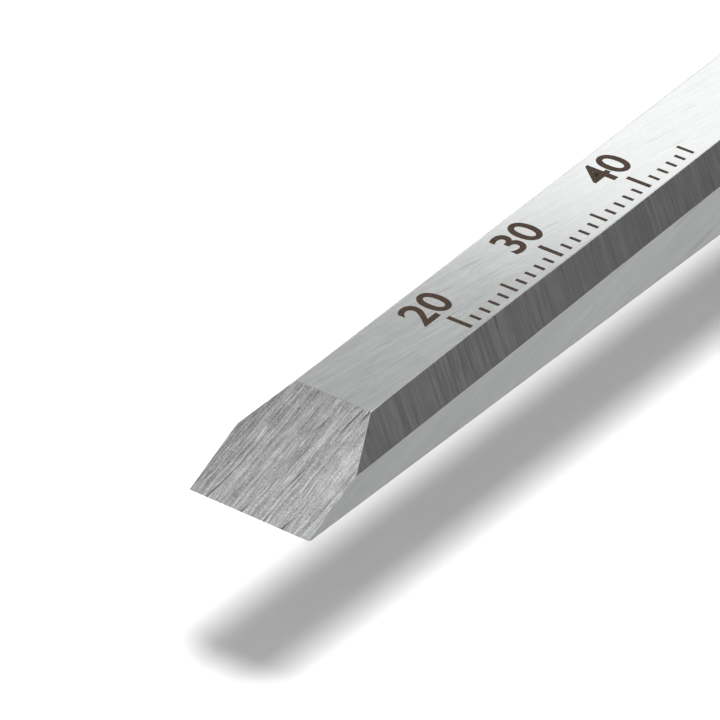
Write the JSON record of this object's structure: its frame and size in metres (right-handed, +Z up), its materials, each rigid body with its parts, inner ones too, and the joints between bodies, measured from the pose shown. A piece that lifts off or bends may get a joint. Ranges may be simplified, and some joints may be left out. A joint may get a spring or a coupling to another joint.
{
  "type": "bevel-edge bench chisel",
  "caption": "Narrow bevel-edge wood chisel with a ground steel blade, through tang, octagonal ash handle, brass ferrules and a steel strike cap.",
  "frame": {"origin": "middle of the bounding box's base: under the handle's axis, on the bench that the handle's lowest flat lies on", "axes": "+Y from the cutting edge to the struck end, +Z up on the bevelled side, +X to the right seen from the cutting edge"},
  "size_m": [0.028, 0.2734, 0.028],
  "materials": {
    "ground_steel": "ground, unpolished, fine grinding scratches",
    "cap_steel": "turned, struck face worn",
    "black_steel": "black oxide",
    "brass": "turned and lightly tarnished",
    "ash": "oiled satin",
    "leather": "waxed, cut edge"
  },
  "bodies": {
    "root": {"blade": "ground_steel", "bolster_washer": "leather", "front_ferrule": "brass", "front_ferrule_brad": "brass", "handle": "ash", "rear_ferrule": "brass", "rear_ferrule_brad": "brass", "strike_washer": "leather", "strike_cap": "cap_steel", "cap_grub_screw": "black_steel"}
  },
  "joints": []
}
